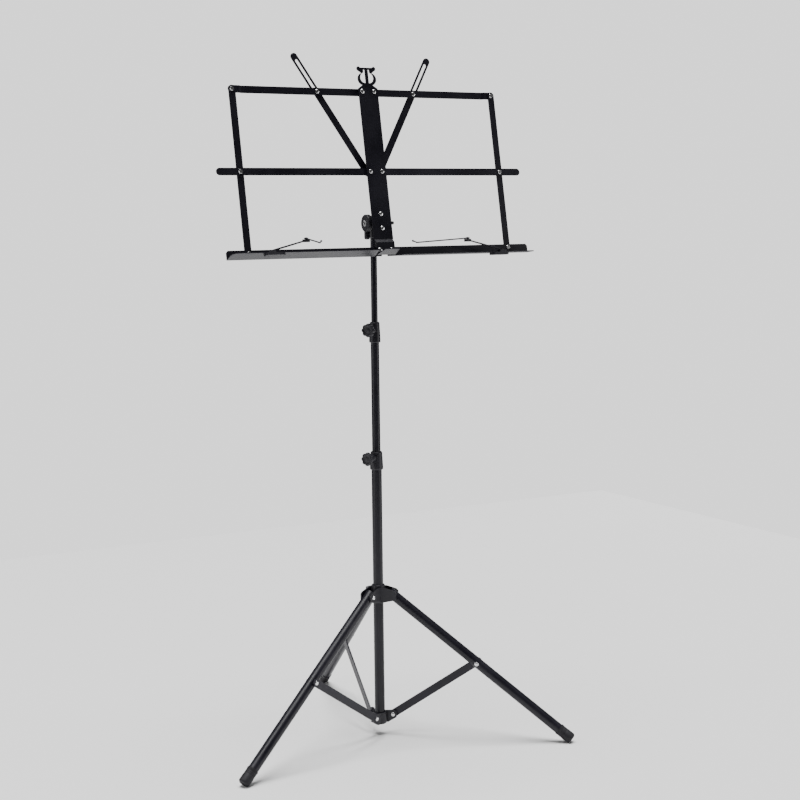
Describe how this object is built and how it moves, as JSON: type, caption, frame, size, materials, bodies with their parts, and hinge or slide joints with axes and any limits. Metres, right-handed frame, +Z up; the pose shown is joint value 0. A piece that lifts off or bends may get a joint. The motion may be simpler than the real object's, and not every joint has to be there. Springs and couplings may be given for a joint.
{
  "type": "folding music stand",
  "caption": "Folding orchestra-style music stand: three-leg base, telescoping mast with thumb-knob clamps, tilting strip-steel desk with slotted bars, ledge and swinging page clips.",
  "frame": {"origin": "on the floor, on the mast's axis, between the three feet", "axes": "+Z up along the mast, -Y towards the reader, +X to the right as the reader faces the desk; the ledges run along X"},
  "size_m": [0.5465, 0.4999, 1.0575],
  "materials": {
    "mast_steel": "semi-gloss black powder coat",
    "leg_steel": "semi-gloss black powder coat",
    "brace_steel": "semi-gloss black powder coat on flat strip",
    "desk_steel": "semi-gloss black powder coat on flat strip",
    "spine_steel": "semi-gloss black powder coat on pressed sheet",
    "rivet_steel": "bright nickel-plated domed rivet",
    "zinc_steel": "zinc-plated steel",
    "black_fastener": "blackened steel",
    "clamp_plastic": "moulded black nylon",
    "knob_plastic": "moulded black plastic with fine texture",
    "hub_plastic": "moulded black nylon",
    "tilt_plastic": "moulded black nylon",
    "glide_plastic": "natural nylon",
    "boot_rubber": "soft black rubber",
    "clip_plastic": "moulded black plastic",
    "clip_metal": "blackened spring steel",
    "insert_metal": "polished disc"
  },
  "bodies": {
    "lower_mast": {"lower_tube": "mast_steel", "foot_bracket": "hub_plastic", "foot_bracket_rivets": "rivet_steel", "lower_clamp": "clamp_plastic"},
    "collar": {"leg_collar": "hub_plastic", "collar_rivets": "rivet_steel"},
    "middle_slider": {"middle_glide": "glide_plastic"},
    "middle_mast": {"middle_tube": "mast_steel", "upper_clamp": "clamp_plastic"},
    "rod_slider": {"rod_glide": "glide_plastic"},
    "top_rod": {"rod": "mast_steel", "tilt_head": "tilt_plastic"},
    "lower_knob_body": {"lower_knob": "knob_plastic", "lower_knob_screw": "zinc_steel"},
    "upper_knob_body": {"upper_knob": "knob_plastic", "upper_knob_screw": "zinc_steel"},
    "desk": {"spine": "spine_steel", "tilt_bracket": "spine_steel", "tilt_bolt": "black_fastener", "bracket_fixing_rivets": "rivet_steel", "spine_rivets": "rivet_steel", "spine_spacers": "black_fastener"},
    "tilt_knob_body": {"tilt_knob": "knob_plastic", "tilt_knob_insert": "insert_metal"},
    "leg_a": {"leg_a": "leg_steel", "foot_boot_a": "boot_rubber", "leg_rivet_a": "rivet_steel"},
    "brace_a": {"brace_a": "brace_steel", "brace_rivet_a": "rivet_steel"},
    "leg_b": {"leg_b": "leg_steel", "foot_boot_b": "boot_rubber", "leg_rivet_b": "rivet_steel"},
    "brace_b": {"brace_b": "brace_steel", "brace_rivet_b": "rivet_steel"},
    "leg_c": {"leg_c": "leg_steel", "foot_boot_c": "boot_rubber", "leg_rivet_c": "rivet_steel"},
    "brace_c": {"brace_c": "brace_steel", "brace_rivet_c": "rivet_steel"},
    "left_ledge": {"left_ledge": "desk_steel", "left_clip_base": "clip_plastic"},
    "left_middle_arm": {"left_middle_arm": "desk_steel"},
    "left_top_arm": {"left_top_arm": "desk_steel", "left_slot_rivet": "rivet_steel"},
    "left_side_bar": {"left_side_bar": "desk_steel", "left_side_rivets": "rivet_steel"},
    "left_slotted_bar": {"left_slotted_bar": "desk_steel"},
    "left_clip_link": {"left_clip_link": "clip_metal"},
    "left_clip_wire": {"left_clip_wire": "clip_metal"},
    "right_ledge": {"right_ledge": "desk_steel", "right_clip_base": "clip_plastic"},
    "right_middle_arm": {"right_middle_arm": "desk_steel"},
    "right_top_arm": {"right_top_arm": "desk_steel", "right_slot_rivet": "rivet_steel"},
    "right_side_bar": {"right_side_bar": "desk_steel", "right_side_rivets": "rivet_steel"},
    "right_slotted_bar": {"right_slotted_bar": "desk_steel"},
    "right_clip_link": {"right_clip_link": "clip_metal"},
    "right_clip_wire": {"right_clip_wire": "clip_metal"}
  },
  "joints": [
    {"name": "collar_slide", "type": "slide", "parent": "lower_mast", "child": "collar", "axis": [0, 0, 1], "range_m": [0, 0.13609]},
    {"name": "leg_fold_a", "type": "hinge", "parent": "collar", "child": "leg_a", "pos_m": [0.00363, 0.02291, 0.2259], "axis": [-0.9877, 0.1564, 0], "range_deg": [0, 49.17]},
    {"name": "brace_fold_a", "type": "hinge", "parent": "lower_mast", "child": "brace_a", "pos_m": [0.00313, 0.01975, 0.031], "axis": [0.9877, -0.1564, 0], "range_deg": [0, 52.64]},
    {"name": "leg_fold_b", "type": "hinge", "parent": "collar", "child": "leg_b", "pos_m": [-0.02166, -0.00831, 0.2259], "axis": [0.3584, -0.9336, 0], "range_deg": [0, 49.17]},
    {"name": "brace_fold_b", "type": "hinge", "parent": "lower_mast", "child": "brace_b", "pos_m": [-0.01867, -0.00717, 0.031], "axis": [-0.3584, 0.9336, 0], "range_deg": [0, 52.64]},
    {"name": "leg_fold_c", "type": "hinge", "parent": "collar", "child": "leg_c", "pos_m": [0.01803, -0.0146, 0.2259], "axis": [0.6293, 0.7771, 0], "range_deg": [0, 49.17]},
    {"name": "brace_fold_c", "type": "hinge", "parent": "lower_mast", "child": "brace_c", "pos_m": [0.01554, -0.01259, 0.031], "axis": [-0.6293, -0.7771, 0], "range_deg": [0, 52.64]},
    {"name": "middle_slide", "type": "slide", "parent": "lower_mast", "child": "middle_slider", "axis": [0, 0, 1], "range_m": [-0.165, 0.07]},
    {"name": "middle_swivel", "type": "hinge", "parent": "middle_slider", "child": "middle_mast", "pos_m": [0, 0, 0.325], "axis": [0, 0, 1], "continuous": true},
    {"name": "rod_slide", "type": "slide", "parent": "middle_mast", "child": "rod_slider", "axis": [0, 0, 1], "range_m": [-0.085, 0.06]},
    {"name": "rod_swivel", "type": "hinge", "parent": "rod_slider", "child": "top_rod", "pos_m": [0, 0, 0.545], "axis": [0, 0, 1], "continuous": true},
    {"name": "lower_knob_turn", "type": "hinge", "parent": "lower_mast", "child": "lower_knob_body", "pos_m": [0, 0, 0.4425], "axis": [-0.9063, -0.4226, 0], "range_deg": [-360, 0]},
    {"name": "upper_knob_turn", "type": "hinge", "parent": "middle_mast", "child": "upper_knob_body", "pos_m": [0, 0, 0.6415], "axis": [-0.809, -0.5878, 0], "range_deg": [-360, 0]},
    {"name": "desk_tilt", "type": "hinge", "parent": "top_rod", "child": "desk", "pos_m": [0, -0.011, 0.8039], "axis": [-1, 0, 0], "range_deg": [-25, 79]},
    {"name": "tilt_knob_turn", "type": "hinge", "parent": "desk", "child": "tilt_knob_body", "pos_m": [0, -0.011, 0.8039], "axis": [-1, 0, 0], "range_deg": [-100, 15]},
    {"name": "left_fold", "type": "hinge", "parent": "desk", "child": "left_ledge", "pos_m": [-0.01, -0.03613, 0.76332], "axis": [0, 0.982, -0.1891], "range_deg": [0, 85]},
    {"name": "left_middle_arm_fold", "type": "hinge", "parent": "desk", "child": "left_middle_arm", "pos_m": [-0.01, -0.01332, 0.88174], "axis": [0, 0.982, -0.1891], "range_deg": [0, 85.1]},
    {"name": "left_top_arm_fold", "type": "hinge", "parent": "desk", "child": "left_top_arm", "pos_m": [-0.01, 0.00988, 1.00223], "axis": [0, 0.982, -0.1891], "range_deg": [0, 85.1]},
    {"name": "left_slotted_bar_fold", "type": "hinge", "parent": "desk", "child": "left_slotted_bar", "pos_m": [-0.01, -0.01332, 0.88174], "axis": [0, 0.982, -0.1891], "range_deg": [0, 28.82]},
    {"name": "left_side_bar_fold", "type": "hinge", "parent": "left_ledge", "child": "left_side_bar", "pos_m": [-0.2218, -0.03613, 0.76332], "axis": [0, 0.982, -0.1891], "range_deg": [-85.1, 0]},
    {"name": "left_clip_swing", "type": "hinge", "parent": "left_ledge", "child": "left_clip_link", "pos_m": [-0.196, -0.05344, 0.76337], "axis": [0, -0.4051, -0.9143], "range_deg": [-4, 95]},
    {"name": "left_wire_swing", "type": "hinge", "parent": "left_clip_link", "child": "left_clip_wire", "pos_m": [-0.13597, -0.04622, 0.77966], "axis": [0, 0, -1], "range_deg": [-103, 0]},
    {"name": "right_fold", "type": "hinge", "parent": "desk", "child": "right_ledge", "pos_m": [0.01, -0.03613, 0.76332], "axis": [0, -0.982, 0.1891], "range_deg": [0, 85]},
    {"name": "right_middle_arm_fold", "type": "hinge", "parent": "desk", "child": "right_middle_arm", "pos_m": [0.01, -0.01332, 0.88174], "axis": [0, -0.982, 0.1891], "range_deg": [0, 85.1]},
    {"name": "right_top_arm_fold", "type": "hinge", "parent": "desk", "child": "right_top_arm", "pos_m": [0.01, 0.00988, 1.00223], "axis": [0, -0.982, 0.1891], "range_deg": [0, 85.1]},
    {"name": "right_slotted_bar_fold", "type": "hinge", "parent": "desk", "child": "right_slotted_bar", "pos_m": [0.01, -0.01332, 0.88174], "axis": [0, -0.982, 0.1891], "range_deg": [0, 28.82]},
    {"name": "right_side_bar_fold", "type": "hinge", "parent": "right_ledge", "child": "right_side_bar", "pos_m": [0.2218, -0.03613, 0.76332], "axis": [0, -0.982, 0.1891], "range_deg": [-85.1, 0]},
    {"name": "right_clip_swing", "type": "hinge", "parent": "right_ledge", "child": "right_clip_link", "pos_m": [0.196, -0.05497, 0.75762], "axis": [0, 0.1028, 0.9947], "range_deg": [-4, 95]},
    {"name": "right_wire_swing", "type": "hinge", "parent": "right_clip_link", "child": "right_clip_wire", "pos_m": [0.13597, -0.05314, 0.77535], "axis": [0, 0, 1], "range_deg": [0, 103]}
  ],
  "couplings": [
    {"joint": "leg_fold_a", "follows": "collar_slide", "rad_per_m": 6.3034},
    {"joint": "brace_fold_a", "follows": "collar_slide", "rad_per_m": 6.7484},
    {"joint": "leg_fold_b", "follows": "collar_slide", "rad_per_m": 6.3034},
    {"joint": "brace_fold_b", "follows": "collar_slide", "rad_per_m": 6.7484},
    {"joint": "leg_fold_c", "follows": "collar_slide", "rad_per_m": 6.3034},
    {"joint": "brace_fold_c", "follows": "collar_slide", "rad_per_m": 6.7484},
    {"joint": "left_middle_arm_fold", "follows": "left_fold", "ratio": 1},
    {"joint": "left_top_arm_fold", "follows": "left_fold", "ratio": 1},
    {"joint": "left_slotted_bar_fold", "follows": "left_fold", "ratio": 0.33789},
    {"joint": "left_side_bar_fold", "follows": "left_fold", "ratio": -1},
    {"joint": "right_middle_arm_fold", "follows": "right_fold", "ratio": 1},
    {"joint": "right_top_arm_fold", "follows": "right_fold", "ratio": 1},
    {"joint": "right_slotted_bar_fold", "follows": "right_fold", "ratio": 0.33789},
    {"joint": "right_side_bar_fold", "follows": "right_fold", "ratio": -1}
  ]
}
